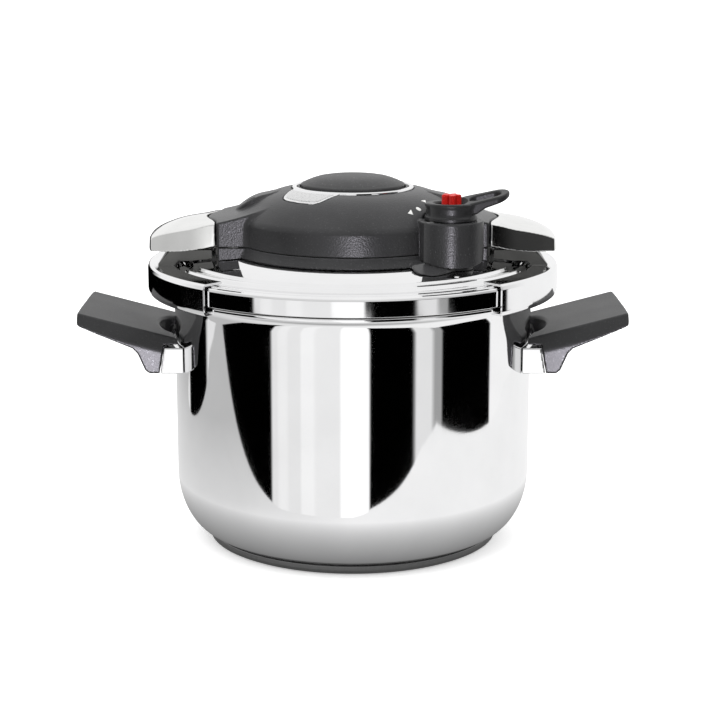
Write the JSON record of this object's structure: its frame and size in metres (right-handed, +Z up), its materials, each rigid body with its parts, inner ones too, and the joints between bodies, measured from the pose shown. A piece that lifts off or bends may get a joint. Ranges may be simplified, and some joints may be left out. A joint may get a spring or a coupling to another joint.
{
  "type": "pressure cooker",
  "caption": "Stainless pot with a clamp-jaw lid: two sliding jaws, push-button opener, steam selector valve with red pressure indicator, and angled side handles.",
  "frame": {"origin": "centre of the underside of the base, on the surface the pot stands on", "axes": "+Z up through the pot's centre, +X towards the right-hand side handle, -Y towards the side with the valve tower"},
  "size_m": [0.335, 0.249, 0.2286],
  "materials": {
    "polished_steel": "mirror polished stainless steel",
    "satin_steel": "satin stainless steel",
    "satin_silver": "fine satin silver",
    "inner_steel": "machined steel",
    "core_aluminium": "rolled",
    "trim_chrome": "bright chrome ring with a fine satin tab",
    "handle_plastic": "matte phenolic resin, fine grain",
    "housing_plastic": "fine spark-eroded grain",
    "button_plastic": "smooth semi-gloss",
    "red_plastic": "smooth red",
    "seal_rubber": "grey silicone"
  },
  "bodies": {
    "pot": {"pot_body": "polished_steel", "base_core": "core_aluminium", "base_cap": "satin_steel", "right_handle": "handle_plastic", "right_flame_guard": "polished_steel", "right_handle_bracket": "inner_steel", "right_handle_screw": "inner_steel", "left_handle": "handle_plastic", "left_flame_guard": "polished_steel", "left_handle_bracket": "inner_steel", "left_handle_screw": "inner_steel"},
    "lid": {"lid_shell": "polished_steel", "gasket": "seal_rubber", "housing_base": "housing_plastic", "housing_cover": "housing_plastic", "trim_ring": "trim_chrome", "hub_sleeve": "inner_steel", "center_stud": "inner_steel", "center_nut": "inner_steel", "bridge_plate": "inner_steel", "lid_stud_front": "inner_steel", "lid_stud_back": "inner_steel", "stud_nut_front": "inner_steel", "stud_nut_back": "inner_steel", "button_spring": "inner_steel", "valve_pipe": "inner_steel", "pipe_nut": "inner_steel", "regulator_spring": "inner_steel", "safety_valve_body": "inner_steel", "safety_valve_nut": "inner_steel"},
    "right_jaw": {"right_jaw": "polished_steel", "right_drive_pin": "inner_steel", "right_wing_cover": "satin_silver", "right_wing_screw": "inner_steel"},
    "left_jaw": {"left_jaw": "polished_steel", "left_drive_pin": "inner_steel", "left_wing_cover": "satin_silver", "left_wing_screw": "inner_steel"},
    "cam": {"cam_disc": "inner_steel"},
    "button": {"push_button": "button_plastic", "button_stem": "housing_plastic"},
    "selector": {"selector_knob": "housing_plastic"},
    "indicator": {"indicator_cap": "red_plastic", "indicator_stem": "inner_steel"},
    "regulator": {"regulator_poppet": "inner_steel"},
    "safety": {"safety_plunger": "inner_steel"},
    "lock": {"lock_pin": "inner_steel", "lock_pin_seal": "seal_rubber"}
  },
  "joints": [
    {"name": "lid_turn", "type": "hinge", "parent": "pot", "child": "lid", "pos_m": [0, 0, 0.165], "axis": [0, 0, 1], "continuous": true},
    {"name": "left_jaw_slide", "type": "slide", "parent": "lid", "child": "left_jaw", "axis": [-1, 0, 0], "range_m": [0, 0.012], "stiffness_N_per_m": 400, "springref_m": -0.01},
    {"name": "right_jaw_slide", "type": "slide", "parent": "lid", "child": "right_jaw", "axis": [1, 0, 0], "range_m": [0, 0.012]},
    {"name": "cam_turn", "type": "hinge", "parent": "lid", "child": "cam", "pos_m": [0, 0, 0.19], "axis": [0, 0, 1], "range_deg": [0, 60]},
    {"name": "button_press", "type": "slide", "parent": "lid", "child": "button", "axis": [0, 0, -1], "range_m": [0, 0.008], "deforming": ["button_spring"]},
    {"name": "selector_turn", "type": "hinge", "parent": "lid", "child": "selector", "pos_m": [0.058, -0.0534, 0.21], "axis": [0, 0, 1], "range_deg": [-60, 20]},
    {"name": "indicator_rise", "type": "slide", "parent": "lid", "child": "indicator", "axis": [0, 0, 1], "range_m": [0, 0.004]},
    {"name": "regulator_lift", "type": "slide", "parent": "lid", "child": "regulator", "axis": [0, 0, 1], "range_m": [0, 0.0015], "stiffness_N_per_m": 120, "springref_m": -0.01, "deforming": ["regulator_spring"]},
    {"name": "safety_lift", "type": "slide", "parent": "lid", "child": "safety", "axis": [0, 0, 1], "range_m": [0, 0.002]},
    {"name": "lock_pin_rise", "type": "slide", "parent": "lid", "child": "lock", "axis": [0, 0, 1], "range_m": [0, 0.003]}
  ],
  "couplings": [
    {"joint": "right_jaw_slide", "follows": "left_jaw_slide", "ratio": 1},
    {"joint": "cam_turn", "follows": "left_jaw_slide", "rad_per_m": 87.266},
    {"joint": "button_press", "follows": "left_jaw_slide", "ratio": 0.66667}
  ]
}
